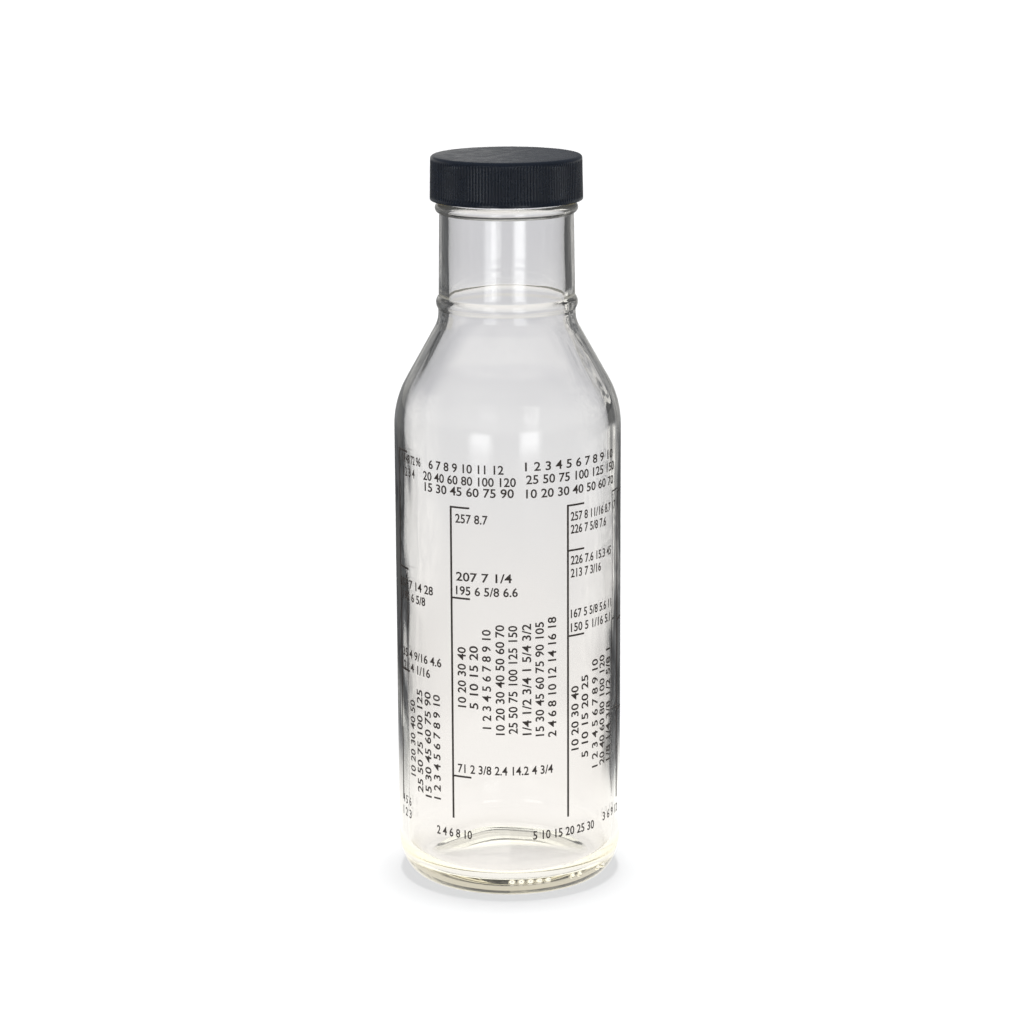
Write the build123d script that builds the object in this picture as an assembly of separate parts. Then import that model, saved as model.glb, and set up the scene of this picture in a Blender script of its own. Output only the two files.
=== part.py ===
from build123d import *
import os
from math import asin, cos, degrees, radians, sin, sqrt, tan

# A clear glass shaker bottle for salad dressing, with a black ribbed screw cap.
# The origin is on the bottle's axis, on the surface that it stands on. +Z is up.
# Lengths are in millimetres and angles in degrees. Azimuth 0 is the front, at -Y,
# and azimuth 90 is at +X.

# Glass body
body_radius = 30.8
body_wall = 2.5
shoulder_height = 126.05
shoulder_curve_radius = 26.0
shoulder_slope_angle = 29.2
neck_curve_radius = 8.0
neck_foot_radius = 18.55
bore_radius = 15.6
inner_neck_curve_radius = 11.0

# Glass heel and base
heel_inset = 6.3
heel_height = 11.5
bearing_width = 2.6
push_up = 2.5
floor_height = 5.2
floor_crown = 0.9
inner_heel_radius = 6.0

# Mould dots on the heel
dot_radius = 0.75
dot_height = 5.0
dot_first_angle = 1.2
dot_pitch_angle = 4.8
dot_slots = (0, 1, 2, 3, 4, 7, 8, 11, 12)

# Neck ring, and the bead under the cap
neck_ring_gap = 1.2
neck_ring_width = 3.5
neck_ring_proud = 0.65
neck_middle_radius = 18.4
neck_top_radius = 18.05
bead_width = 2.75
bead_proud = 1.15

# Threaded neck finish of the 38 mm single-start kind, six threads to the inch
rim_height = 196.9
finish_height = 10.3
finish_root_radius = 17.35
rim_edge_radius = 0.6
thread_pitch = 4.2333
thread_height = 1.2
thread_root_width = 2.3
thread_crest_width = 0.9
thread_turns = 1.2
thread_top_gap = 1.0
thread_run_out_angle = 14.0
thread_sink = 0.3

# Screw cap
cap_height = 11.9
cap_panel = 1.3
cap_wall = 1.35
cap_draft = 0.2
cap_top_edge_radius = 0.9
cap_lip_height = 0.8
cap_lip_edge_radius = 0.35
cap_rib_count = 144
cap_rib_depth = 0.28
cap_rib_top_gap = 1.0
cap_rib_foot_share = 0.82
cap_rib_crest_share = 0.34
cap_thread_clearance = 0.35
cap_thread_depth = 1.1
cap_thread_root_width = 1.6
cap_thread_crest_width = 0.6
cap_thread_turns = 1.2
cap_thread_flank_gap = 0.15
cap_thread_lead_angle = 57.0

# Foam liner
liner_thickness = 1.0
liner_side_gap = 0.3

# Enamel fill lines on the glass, with the heights of their marks as shares of the
# height of the straight body
ink_thickness = 0.1
ink_line_width = 0.55
ink_mark_width = 0.5
ink_mark_length = 5.7
ink_foot_share = 0.1801
ink_column_angles = (-71.0, -29.4, 31.0, 73.0)
ink_mark_shares = (
    (0.9662, 0.7096, 0.4826),
    (0.8675, 0.6711, 0.2773),
    (0.8675, 0.7698, 0.5833),
    (0.8675, 0.5833, 0.3809),
)

# Overrun of every cutting solid past what it cuts
overrun = 1.0

# Sizes that follow from those above
bearing_radius = body_radius - heel_inset
body_bore_radius = body_radius - body_wall
inner_shoulder_curve_radius = shoulder_curve_radius - body_wall
bead_top = rim_height - finish_height
thread_crest_radius = finish_root_radius + thread_height
cap_bore_radius = thread_crest_radius + cap_thread_clearance
cap_lip_radius = cap_bore_radius + cap_wall + cap_rib_depth
cap_top_radius = cap_lip_radius - cap_draft
cap_ceiling = rim_height + liner_thickness
cap_top = cap_ceiling + cap_panel
cap_bottom = cap_top - cap_height


def arc_about(centre, radius, start_angle, end_angle):
    """Round stretch of an outline, from one angle to another about its centre."""
    return CenterArc(centre, radius, start_angle, end_angle - start_angle)


def bulge(start, end, rise):
    """Round stretch of an outline that stands out from its chord by a rise."""
    start = Vector(start)
    end = Vector(end)
    chord = end - start
    outward = Vector(chord.Y, -chord.X).normalized()
    middle = (start + end) / 2 + outward * rise
    return ThreePointArc(start, middle, end)


def dome(edge_radius, edge_height, crown):
    """Round stretch from the axis to an edge, level where it leaves the axis."""
    radius = (edge_radius**2 + crown**2) / (2 * crown)
    half_angle = degrees(asin(edge_radius / radius))
    centre = (0, edge_height + crown - radius)
    return arc_about(centre, radius, 90, 90 - half_angle)


def shoulder_curve(low_radius, low_turn_radius, high_radius, high_turn_radius):
    """Shoulder outline: an arc inwards, a straight slope and an arc back upright."""
    slope = radians(shoulder_slope_angle)
    low_centre = (low_radius - low_turn_radius, shoulder_height)
    low_edge = arc_about(low_centre, low_turn_radius, 0, shoulder_slope_angle)
    slope_start = low_edge @ 1
    slope_end_radius = high_radius + high_turn_radius * (1 - cos(slope))
    slope_rise = (slope_start.X - slope_end_radius) / tan(slope)
    slope_end = Vector(slope_end_radius, slope_start.Y + slope_rise)
    top_height = slope_end.Y + high_turn_radius * sin(slope)
    high_centre = (high_radius + high_turn_radius, top_height)
    high_edge = arc_about(high_centre, high_turn_radius, 180 + shoulder_slope_angle, 180)
    return [low_edge, Line(slope_start, slope_end), high_edge], top_height


def revolved(edges):
    """Solid of revolution of an outline given as radius and height."""
    face = Plane.XZ * make_face(edges)
    return revolve(face, Axis.Z)


def heel_dot():
    """Ball half sunk in the front of the heel, with its poles square to the glass."""
    drop_share = 1 - dot_height / heel_height
    side_share = sqrt(1 - drop_share**2)
    seat = Vector(0, -bearing_radius - heel_inset * side_share, dot_height)
    normal = Vector(0, -side_share / heel_inset, -drop_share / heel_height)
    return Plane(origin=seat, x_dir=(1, 0, 0), z_dir=normal) * Sphere(dot_radius)


def outer_outline():
    """Outside of the glass, from the middle of the base up to the rim."""
    push_up_radius = bearing_radius - bearing_width
    shoulder, shoulder_top = shoulder_curve(
        body_radius, shoulder_curve_radius, neck_foot_radius, neck_curve_radius
    )
    ring_foot = shoulder_top + neck_ring_gap
    ring_top = ring_foot + neck_ring_width
    bead_foot = bead_top - bead_width
    edges = [
        dome(push_up_radius, 0, push_up),
        Line((push_up_radius, 0), (bearing_radius, 0)),
        EllipticalCenterArc(
            (bearing_radius, heel_height),
            heel_inset,
            heel_height,
            start_angle=270,
            arc_size=90,
        ),
        Line((body_radius, heel_height), (body_radius, shoulder_height)),
        *shoulder,
        Line((neck_foot_radius, shoulder_top), (neck_foot_radius, ring_foot)),
        bulge(
            (neck_foot_radius, ring_foot), (neck_middle_radius, ring_top), neck_ring_proud
        ),
        Line((neck_middle_radius, ring_top), (neck_top_radius, bead_foot)),
        bulge((neck_top_radius, bead_foot), (neck_top_radius, bead_top), bead_proud),
        Line((neck_top_radius, bead_top), (finish_root_radius, bead_top)),
        Line(
            (finish_root_radius, bead_top),
            (finish_root_radius, rim_height - rim_edge_radius),
        ),
        arc_about(
            (finish_root_radius - rim_edge_radius, rim_height - rim_edge_radius),
            rim_edge_radius,
            0,
            90,
        ),
    ]
    return edges


def inner_outline():
    """Inside of the glass, from the rim down to the middle of the floor."""
    shoulder, shoulder_top = shoulder_curve(
        body_bore_radius,
        inner_shoulder_curve_radius,
        bore_radius,
        inner_neck_curve_radius,
    )
    heel_centre = Vector(
        body_bore_radius - inner_heel_radius, floor_height + inner_heel_radius
    )
    edges = [
        arc_about(
            (bore_radius + rim_edge_radius, rim_height - rim_edge_radius),
            rim_edge_radius,
            90,
            180,
        ),
        Line((bore_radius, rim_height - rim_edge_radius), (bore_radius, shoulder_top)),
        *shoulder,
        Line((body_bore_radius, shoulder_height), (body_bore_radius, heel_centre.Y)),
        arc_about(heel_centre, inner_heel_radius, 0, -90),
        dome(heel_centre.X, floor_height, floor_crown),
    ]
    return edges


def thread_ridge(low, turns, root, crest, root_width, crest_width):
    """Helical ridge on a wall, sunk a little into it, with both ends ramped off.

    low is the height of its lower end's middle, which lies at azimuth +X.
    """
    outward = 1 if crest > root else -1
    seat = root - outward * thread_sink
    helix = Pos(0, 0, low) * Helix(thread_pitch, thread_pitch * turns, root)
    start = Plane(origin=helix @ 0, x_dir=(1, 0, 0), z_dir=helix % 0)
    section = start * make_face(
        Polyline(
            (seat - root, -root_width / 2),
            (0, -root_width / 2),
            (crest - root, -crest_width / 2),
            (crest - root, crest_width / 2),
            (0, root_width / 2),
            (seat - root, root_width / 2),
            close=True,
        )
    )
    ridge = sweep(section, path=helix, is_frenet=True)
    far = crest + 2 * (crest - root)
    for end_angle, inward, height in (
        (0, 1, low),
        (turns * 360, -1, low + thread_pitch * turns),
    ):
        past_angle = end_angle - inward * thread_run_out_angle
        ramp_foot = polar(seat, end_angle)
        ramp_head = polar(crest, end_angle + inward * thread_run_out_angle)
        corners = (
            ramp_foot,
            ramp_foot + (ramp_head - ramp_foot) * 2,
            polar(far, past_angle),
            polar(seat, past_angle),
        )
        cutter = extrude(
            make_face(Polyline(*corners, close=True)), thread_pitch / 2, both=True
        )
        ridge -= Pos(0, 0, height) * cutter
    return ridge


def polar(radius, angle):
    """Point in plan at an angle from +X, anticlockwise from above."""
    return Vector(radius * cos(radians(angle)), radius * sin(radians(angle)))


def make_bottle():
    rim = Line(
        (finish_root_radius - rim_edge_radius, rim_height),
        (bore_radius + rim_edge_radius, rim_height),
    )
    middle = Line((0, floor_height + floor_crown), (0, push_up))
    glass = revolved([*outer_outline(), rim, *inner_outline(), middle])
    dot = heel_dot()
    for slot in dot_slots:
        glass += Rot(0, 0, dot_first_angle + slot * dot_pitch_angle) * dot
    thread = thread_ridge(
        glass_thread_low(),
        thread_turns,
        finish_root_radius,
        thread_crest_radius,
        thread_root_width,
        thread_crest_width,
    )
    return glass + thread


def glass_thread_low():
    """Height of the middle of the glass thread's lower end."""
    top_middle = rim_height - thread_top_gap - thread_root_width / 2
    return top_middle - thread_pitch * thread_turns


def ribbed_face(radius, height):
    """Cross-section of the cap's skirt through its ribs, at a height."""
    pitch_angle = 360 / cap_rib_count
    foot_half = pitch_angle * cap_rib_foot_share / 2
    crest_half = pitch_angle * cap_rib_crest_share / 2
    corners = []
    for rib in range(cap_rib_count):
        middle = rib * pitch_angle
        corners += [
            polar(radius - cap_rib_depth, middle - foot_half),
            polar(radius, middle - crest_half),
            polar(radius, middle + crest_half),
            polar(radius - cap_rib_depth, middle + foot_half),
        ]
    return Pos(0, 0, height) * make_face(Polyline(*corners, close=True))


def make_cap():
    rib_bottom = cap_bottom + cap_lip_height
    rib_top = cap_top - cap_rib_top_gap
    draft_slope = cap_draft / cap_height
    rib_bottom_radius = cap_lip_radius - draft_slope * cap_lip_height
    rib_top_radius = cap_top_radius + draft_slope * cap_rib_top_gap
    valley_top_radius = rib_top_radius - cap_rib_depth
    core_edges = [
        Line((0, cap_bottom), (cap_lip_radius - cap_lip_edge_radius, cap_bottom)),
        arc_about(
            (cap_lip_radius - cap_lip_edge_radius, cap_bottom + cap_lip_edge_radius),
            cap_lip_edge_radius,
            -90,
            0,
        ),
        Line(
            (cap_lip_radius, cap_bottom + cap_lip_edge_radius),
            (cap_lip_radius, rib_bottom),
        ),
        Line(
            (cap_lip_radius, rib_bottom), (rib_bottom_radius - cap_rib_depth, rib_bottom)
        ),
        Line(
            (rib_bottom_radius - cap_rib_depth, rib_bottom),
            (valley_top_radius, rib_top),
        ),
        Line((valley_top_radius, rib_top), (rib_top_radius, rib_top)),
        Line(
            (rib_top_radius, rib_top), (cap_top_radius, cap_top - cap_top_edge_radius)
        ),
        arc_about(
            (cap_top_radius - cap_top_edge_radius, cap_top - cap_top_edge_radius),
            cap_top_edge_radius,
            0,
            90,
        ),
        Line((cap_top_radius - cap_top_edge_radius, cap_top), (0, cap_top)),
        Line((0, cap_top), (0, cap_bottom)),
    ]
    ribs = loft(
        [
            ribbed_face(rib_bottom_radius, rib_bottom),
            ribbed_face(rib_top_radius, rib_top),
        ],
        ruled=True,
    )
    cap = revolved(core_edges) + ribs
    hollow_height = cap_ceiling - cap_bottom
    hollow = Cylinder(
        cap_bore_radius,
        hollow_height + overrun,
        align=(Align.CENTER, Align.CENTER, Align.MAX),
    )
    cap -= Pos(0, 0, cap_ceiling) * hollow
    return cap + make_cap_thread()


def make_cap_thread():
    """Inside thread, just under the glass thread and a flank gap away from it."""
    crest = cap_bore_radius - cap_thread_depth
    root_share = (crest - finish_root_radius) / thread_height
    glass_width = thread_root_width - root_share * (
        thread_root_width - thread_crest_width
    )
    drop = (glass_width + cap_thread_crest_width) / 2 + cap_thread_flank_gap
    lead = thread_pitch * cap_thread_lead_angle / 360
    ridge = thread_ridge(
        glass_thread_low() - drop + lead,
        cap_thread_turns,
        cap_bore_radius,
        crest,
        cap_thread_root_width,
        cap_thread_crest_width,
    )
    return Rot(0, 0, cap_thread_lead_angle) * ridge


def make_liner():
    disc = Cylinder(
        cap_bore_radius - liner_side_gap,
        liner_thickness,
        align=(Align.CENTER, Align.CENTER, Align.MIN),
    )
    return Pos(0, 0, rim_height) * disc


def ink_patch(azimuth, width, bottom, height):
    """Thin patch of enamel on the straight body, from an azimuth on."""
    face = Plane.XZ * make_face(
        Polyline(
            (body_radius, bottom),
            (body_radius + ink_thickness, bottom),
            (body_radius + ink_thickness, bottom + height),
            (body_radius, bottom + height),
            close=True,
        )
    )
    arc = degrees(width / body_radius)
    return Rot(0, 0, azimuth - 90) * revolve(face, Axis.Z, revolution_arc=arc)


def make_print():
    """One bracket for each column: an upright line with a mark at each fill height."""
    columns = []
    line_half_angle = degrees(ink_line_width / body_radius) / 2
    foot = ink_foot_share * shoulder_height
    for angle, mark_shares in zip(ink_column_angles, ink_mark_shares):
        left = angle - line_half_angle
        top = max(mark_shares) * shoulder_height
        column = ink_patch(left, ink_line_width, foot, top - foot)
        for share in mark_shares:
            mark_bottom = share * shoulder_height - ink_mark_width
            column += ink_patch(left, ink_mark_length, mark_bottom, ink_mark_width)
        columns.append(column)
    return Compound(children=columns)


os.makedirs("parts", exist_ok=True)
export_step(make_bottle(), "parts/glass_bottle.step")
export_step(make_cap(), "parts/screw_cap.step")
export_step(make_liner(), "parts/cap_liner.step")
export_step(make_print(), "parts/fill_scale_print.step")
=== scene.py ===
import math

import bpy
import numpy as np
from mathutils import Matrix, Vector


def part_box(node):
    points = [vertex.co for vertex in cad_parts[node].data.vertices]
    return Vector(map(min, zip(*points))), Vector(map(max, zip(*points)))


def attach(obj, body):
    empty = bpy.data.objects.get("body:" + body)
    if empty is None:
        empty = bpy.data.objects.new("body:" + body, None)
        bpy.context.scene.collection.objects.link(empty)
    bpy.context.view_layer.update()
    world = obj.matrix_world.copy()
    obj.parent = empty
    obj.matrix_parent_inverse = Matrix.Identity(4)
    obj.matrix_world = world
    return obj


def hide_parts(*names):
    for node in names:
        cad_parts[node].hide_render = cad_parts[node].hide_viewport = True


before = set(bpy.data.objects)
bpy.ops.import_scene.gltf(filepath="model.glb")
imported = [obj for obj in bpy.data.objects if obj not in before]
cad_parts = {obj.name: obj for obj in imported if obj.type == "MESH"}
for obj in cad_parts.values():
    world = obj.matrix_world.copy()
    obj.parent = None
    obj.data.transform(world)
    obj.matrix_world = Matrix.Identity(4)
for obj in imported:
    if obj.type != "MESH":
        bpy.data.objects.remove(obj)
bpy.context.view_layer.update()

# One millimetre in the scene's metres; shapes below are worked out in millimetres
MM = 0.001

_, glass_high = (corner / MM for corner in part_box("glass_bottle"))
cap_low, cap_high = (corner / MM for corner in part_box("screw_cap"))
liner_low, liner_high = (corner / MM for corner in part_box("cap_liner"))

# Glass body
body_radius = glass_high.x
body_wall = 2.5
shoulder_height = 126.05
shoulder_curve_radius = 26.0
shoulder_slope_angle = 29.2
neck_foot_radius = 18.55
neck_curve_radius = 8.0
bore_radius = 15.6
inner_neck_curve_radius = 11.0

# Heel, base and floor
bearing_radius = 24.5
bearing_width = 2.6
heel_height = 11.5
push_up = 2.5
floor_height = 5.2
floor_crown = 0.9
inner_heel_radius = 6.0

# Mould dots on the heel
dot_radius = 0.75
dot_height = 5.0
dot_first_angle = 1.2
dot_pitch_angle = 4.8
dot_slots = (0, 1, 2, 3, 4, 7, 8, 11, 12)

# Ring at the foot of the neck and bead under the cap
neck_ring_gap = 1.2
neck_ring_width = 3.5
neck_ring_proud = 0.65
neck_middle_radius = 18.4
neck_top_radius = 18.05
bead_width = 2.75
bead_proud = 1.15

# Threaded finish
rim_height = liner_low.z
finish_height = 10.3
finish_root_radius = 17.35
rim_edge_radius = 0.6
thread_pitch = 4.2333
thread_rise = 1.2
thread_root_width = 2.3
thread_crest_width = 0.9
thread_turns = 1.2
thread_low = 189.67
thread_run_out_angle = 14.0

# Screw cap
cap_bottom = cap_low.z
cap_top = cap_high.z
cap_lip_radius = cap_high.x
cap_draft = 0.2
cap_wall = 1.35
cap_top_edge_radius = 0.9
cap_edge_radius = 0.35
cap_lip_height = 0.8
cap_rib_count = 144
cap_rib_depth = 0.28
cap_rib_top_gap = 1.0
cap_rib_fade = 0.35
cap_rib_foot_share = 0.82
cap_rib_crest_share = 0.34
cap_bore_radius = cap_lip_radius - cap_wall - cap_rib_depth
cap_ceiling = liner_high.z
cap_thread_rise = 1.1
cap_thread_root_width = 1.6
cap_thread_crest_width = 0.6
cap_thread_low = 188.56
cap_thread_lead_angle = 57.0
cap_columns_per_rib = 6

# Liner
liner_radius = liner_high.x
liner_edge_radius = 0.15
pressed_ring_depth = 0.06

# Enamel numbers, and how far the glass lies back behind their face
ink_depth = 0.06
ink_proud = 0.02
digit_height = 2.5
digit_weight = 0.016

# Fineness of the meshes, and the small round that takes each sharp corner off
coarse_column_angle = 1.8
fine_column_angle = 0.4
wall_step = 3.0
curve_step = 1.1
fine_step = 0.5
thread_step = 0.26
dot_step = 0.2
corner_reach = 0.18
corner_reach_share = 0.45
corner_turn_angle = 25.0


def straight(start, end, step):
    """Points along a straight run of an outline, without its end."""
    count = max(1, math.ceil(math.dist(start, end) / step))
    shares = np.arange(count)[:, None] / count
    return (1 - shares) * np.array(start) + shares * np.array(end)


def round_run(centre, radii, first, last, step):
    """Points along an arc of a circle or an ellipse, in degrees, without its end."""
    length = abs(math.radians(last - first)) * max(radii)
    count = max(3, math.ceil(length / step))
    angles = np.radians(np.linspace(first, last, count + 1)[:-1])
    return np.column_stack(
        (centre[0] + radii[0] * np.cos(angles), centre[1] + radii[1] * np.sin(angles))
    )


def bulge(start, end, rise, step):
    """Points along an arc that stands out from its chord by a rise, without its end."""
    chord = math.dist(start, end)
    radius = (chord**2 / 4 + rise**2) / (2 * rise)
    along = math.atan2(end[1] - start[1], end[0] - start[0])
    out = along - math.pi / 2
    middle = (np.array(start) + np.array(end)) / 2
    centre = middle - (radius - rise) * np.array((math.cos(out), math.sin(out)))
    half = math.degrees(math.asin(chord / 2 / radius))
    out = math.degrees(out)
    return round_run(centre, (radius, radius), out - half, out + half, step)


def dome(edge_radius, edge_height, crown, step, outwards):
    """Points of a shallow dome between the axis and its edge, without its end."""
    radius = (edge_radius**2 + crown**2) / (2 * crown)
    half = math.degrees(math.asin(edge_radius / radius))
    centre = (0, edge_height + crown - radius)
    first, last = (90, 90 - half) if outwards else (90 - half, 90)
    return round_run(centre, (radius, radius), first, last, step)


def shoulder(low_radius, low_turn_radius, high_radius, high_turn_radius, step):
    """Shoulder outline from the body up to the neck, and the height of its top."""
    slope = math.radians(shoulder_slope_angle)
    low_centre = (low_radius - low_turn_radius, shoulder_height)
    low_turn = (low_turn_radius, low_turn_radius)
    rows = [round_run(low_centre, low_turn, 0, shoulder_slope_angle, step)]
    start = (
        low_centre[0] + low_turn_radius * math.cos(slope),
        low_centre[1] + low_turn_radius * math.sin(slope),
    )
    end_radius = high_radius + high_turn_radius * (1 - math.cos(slope))
    end = (end_radius, start[1] + (start[0] - end_radius) / math.tan(slope))
    rows.append(straight(start, end, step))
    top = end[1] + high_turn_radius * math.sin(slope)
    high_centre = (high_radius + high_turn_radius, top)
    high_turn = (high_turn_radius, high_turn_radius)
    rows.append(
        round_run(high_centre, high_turn, 180 + shoulder_slope_angle, 180, step / 2)
    )
    return np.vstack((*rows, [(high_radius, top)])), top


def eased(outline):
    """The outline with each sharp corner cut back to a small round."""
    rows = [outline[0]]
    for before, corner, after in zip(outline, outline[1:], outline[2:]):
        way_in, way_out = corner - before, after - corner
        turn = math.atan2(way_in[0] * way_out[1] - way_in[1] * way_out[0], way_in @ way_out)
        if abs(math.degrees(turn)) < corner_turn_angle:
            rows.append(corner)
            continue
        reach_in = min(corner_reach, np.linalg.norm(way_in) * corner_reach_share)
        reach_out = min(corner_reach, np.linalg.norm(way_out) * corner_reach_share)
        start = corner - way_in / np.linalg.norm(way_in) * reach_in
        end = corner + way_out / np.linalg.norm(way_out) * reach_out
        for share in (0, 0.25, 0.5, 0.75, 1):
            rows.append(
                (1 - share) ** 2 * start + 2 * share * (1 - share) * corner + share**2 * end
            )
    rows.append(outline[-1])
    return np.array(rows)


def outward_normals(outline):
    """Unit normals of an outline, out of the material that lies on its left."""
    along = np.gradient(outline, axis=0)
    along /= np.linalg.norm(along, axis=1)[:, None]
    return np.column_stack((along[:, 1], -along[:, 0]))


def smooth(share):
    """Eases a share from 0 to 1 in and out."""
    share = np.clip(share, 0, 1)
    return share * share * (3 - 2 * share)


def helical_rise(azimuths, heights, low, lead, root_width, crest_width, rise):
    """How far a helical thread stands off its wall at each height and azimuth."""
    stands = np.zeros((len(heights), len(azimuths)))
    end = 360 * thread_turns
    for turn in range(math.ceil(thread_turns) + 1):
        along = (azimuths - 90 - lead) % 360 + 360 * turn
        off = np.abs(heights[:, None] - low - thread_pitch * along[None, :] / 360)
        side = smooth((root_width / 2 - off) / ((root_width - crest_width) / 2))
        ramp = smooth(np.minimum(along, end - along) / thread_run_out_angle)
        stands = np.maximum(stands, rise * side * ramp[None, :])
    return stands


def turned(name, outline, azimuths, offset=None):
    """Closed skin: the outline turned about the Z axis, each point moved out by offset.

    The outline starts and ends on the axis. Azimuth 0 is the front, -Y.
    """
    normals = outward_normals(outline)
    if offset is None:
        offset = np.zeros((len(outline), len(azimuths)))
    radii = outline[1:-1, :1] + normals[1:-1, :1] * offset[1:-1]
    heights = outline[1:-1, 1:] + normals[1:-1, 1:] * offset[1:-1]
    turn = np.radians(azimuths)[None, :]
    rings = np.stack(
        (radii * np.sin(turn), -radii * np.cos(turn), heights * np.ones_like(turn)), axis=2
    )
    ring_count, column_count = radii.shape
    points = np.vstack(
        (rings.reshape(-1, 3), [(0, 0, outline[0, 1]), (0, 0, outline[-1, 1])])
    )
    first_pole = ring_count * column_count
    columns = np.arange(column_count)
    after = (columns + 1) % column_count
    faces = []
    for ring in range(ring_count - 1):
        low, high = ring * column_count, (ring + 1) * column_count
        faces += np.column_stack(
            (low + columns, low + after, high + after, high + columns)
        ).tolist()
    top = (ring_count - 1) * column_count
    faces += [(first_pole, int(b), int(a)) for a, b in zip(columns, after)]
    faces += [(first_pole + 1, top + int(a), top + int(b)) for a, b in zip(columns, after)]
    return mesh_object(name, points * MM, faces)


def mesh_object(name, points, faces):
    """A smooth-shaded mesh object in the scene."""
    mesh = bpy.data.meshes.new(name)
    mesh.from_pydata([tuple(p) for p in points], [], faces)
    mesh.polygons.foreach_set("use_smooth", [True] * len(mesh.polygons))
    mesh.update()
    piece = bpy.data.objects.new(name, mesh)
    bpy.context.scene.collection.objects.link(piece)
    return piece


def waves(azimuths, heights, table):
    """Gentle unevenness of blown glass: a sum of slanted ripples.

    Each ripple has its lobes round the bottle, its length up it, its phase and its size.
    """
    turn = np.radians(azimuths)[None, :]
    total = np.zeros((len(heights), len(azimuths)))
    for lobes, length, phase, size in table:
        total += size * np.sin(lobes * turn + heights[:, None] * 2 * math.pi / length + phase)
    return total


def outer_outline():
    """Outside of the glass from the middle of the base up to the rim."""
    push_up_radius = bearing_radius - bearing_width
    heel_inset = body_radius - bearing_radius
    heel_centre = (bearing_radius, heel_height)
    heel = (heel_inset, heel_height)
    dots_low = math.degrees(math.acos(1 - (dot_height - 2 * dot_radius) / heel_height)) - 90
    dots_high = math.degrees(math.acos(1 - (dot_height + 2 * dot_radius) / heel_height)) - 90
    rise, top = shoulder(
        body_radius, shoulder_curve_radius, neck_foot_radius, neck_curve_radius, curve_step
    )
    ring_foot = (neck_foot_radius, top + neck_ring_gap)
    ring_top = (neck_middle_radius, top + neck_ring_gap + neck_ring_width)
    bead_top = rim_height - finish_height
    bead_foot = (neck_top_radius, bead_top - bead_width)
    edge_height = rim_height - rim_edge_radius
    edge = (rim_edge_radius, rim_edge_radius)
    rows = [
        dome(push_up_radius, 0, push_up, curve_step * 2, True),
        straight((push_up_radius, 0), (bearing_radius, 0), fine_step * 2),
        round_run(heel_centre, heel, -90, dots_low, curve_step / 2),
        round_run(heel_centre, heel, dots_low, dots_high, dot_step),
        round_run(heel_centre, heel, dots_high, 0, curve_step),
        straight((body_radius, heel_height), (body_radius, shoulder_height), wall_step),
        rise,
        bulge(ring_foot, ring_top, neck_ring_proud, fine_step),
        straight(ring_top, bead_foot, wall_step),
        bulge(bead_foot, (neck_top_radius, bead_top), bead_proud, fine_step),
        [(neck_top_radius, bead_top)],
        straight(
            (finish_root_radius, bead_top), (finish_root_radius, edge_height), thread_step
        ),
        round_run(
            (finish_root_radius - rim_edge_radius, edge_height), edge, 0, 90, rim_edge_radius / 3
        ),
    ]
    return np.vstack(rows)


def inner_outline():
    """Inside of the glass from the rim down to the middle of the floor."""
    wall_radius = body_radius - body_wall
    rise, top = shoulder(
        wall_radius,
        shoulder_curve_radius - body_wall,
        bore_radius,
        inner_neck_curve_radius,
        curve_step * 1.3,
    )
    edge_centre = (bore_radius + rim_edge_radius, rim_height - rim_edge_radius)
    edge = (rim_edge_radius, rim_edge_radius)
    heel_centre = (wall_radius - inner_heel_radius, floor_height + inner_heel_radius)
    heel = (inner_heel_radius, inner_heel_radius)
    rows = [
        [(finish_root_radius - rim_edge_radius, rim_height)],
        round_run(edge_centre, edge, 90, 180, rim_edge_radius / 3),
        straight((bore_radius, edge_centre[1]), (bore_radius, top), wall_step),
        rise[::-1],
        straight((wall_radius, shoulder_height), (wall_radius, heel_centre[1]), wall_step)[1:],
        round_run(heel_centre, heel, 0, -90, curve_step / 2),
        dome(heel_centre[0], floor_height, floor_crown, curve_step * 2, False),
        [(0, floor_height + floor_crown)],
    ]
    return np.vstack(rows)


def glass_columns():
    """Azimuths of the glass mesh, closer together where the mould dots are."""
    margin = 2 * fine_column_angle
    first = dot_first_angle - math.degrees(dot_radius / bearing_radius) - margin
    last = dot_first_angle + dot_slots[-1] * dot_pitch_angle
    last += math.degrees(dot_radius / bearing_radius) + margin
    fine_count = math.ceil((last - first) / fine_column_angle)
    coarse_count = math.ceil((360 - last + first) / coarse_column_angle)
    fine = np.linspace(first, last, fine_count + 1)
    coarse = np.linspace(last, first + 360, coarse_count + 1)
    return np.concatenate((fine, coarse[1:-1]))


def dot_rise(outline, azimuths):
    """Height of the mould dots over the heel: balls half sunk in the glass."""
    drop_share = 1 - dot_height / heel_height
    seat_radius = bearing_radius + (body_radius - bearing_radius) * math.sqrt(1 - drop_share**2)
    turn = np.radians(azimuths)[None, :]
    places_x = outline[:, :1] * np.sin(turn)
    places_y = -outline[:, :1] * np.cos(turn)
    stands = np.zeros_like(places_x)
    for place in dot_slots:
        at = math.radians(dot_first_angle + place * dot_pitch_angle)
        apart = (
            (places_x - seat_radius * math.sin(at)) ** 2
            + (places_y + seat_radius * math.cos(at)) ** 2
            + (outline[:, 1:] - dot_height) ** 2
        )
        stands = np.maximum(stands, np.sqrt(np.maximum(dot_radius**2 - apart, 0)))
    return stands


# Glow of the glass where light has turned back in it very often, and the heights where it changes
base_glow_reach = (0.028, 0.062)
shoulder_glow_reach = (0.13, 0.142)
neck_glow_reach = (0.149, 0.155)
base_glow = 0.74
body_glow = 0.06
shoulder_glow = 0.2
neck_glow = 0.05

# Heights between which the ripples come in and fade out, over the floor and over the heel,
# and the sideways share of the bottle where the side ripples come in
inner_ripple_rise = (6, 14)
inner_ripple_end = (150, 185)
outer_ripple_rise = (0, 8)
outer_ripple_end = (150, 180)
side_ripple_start = 0.7
side_ripple_reach = 0.25

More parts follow.
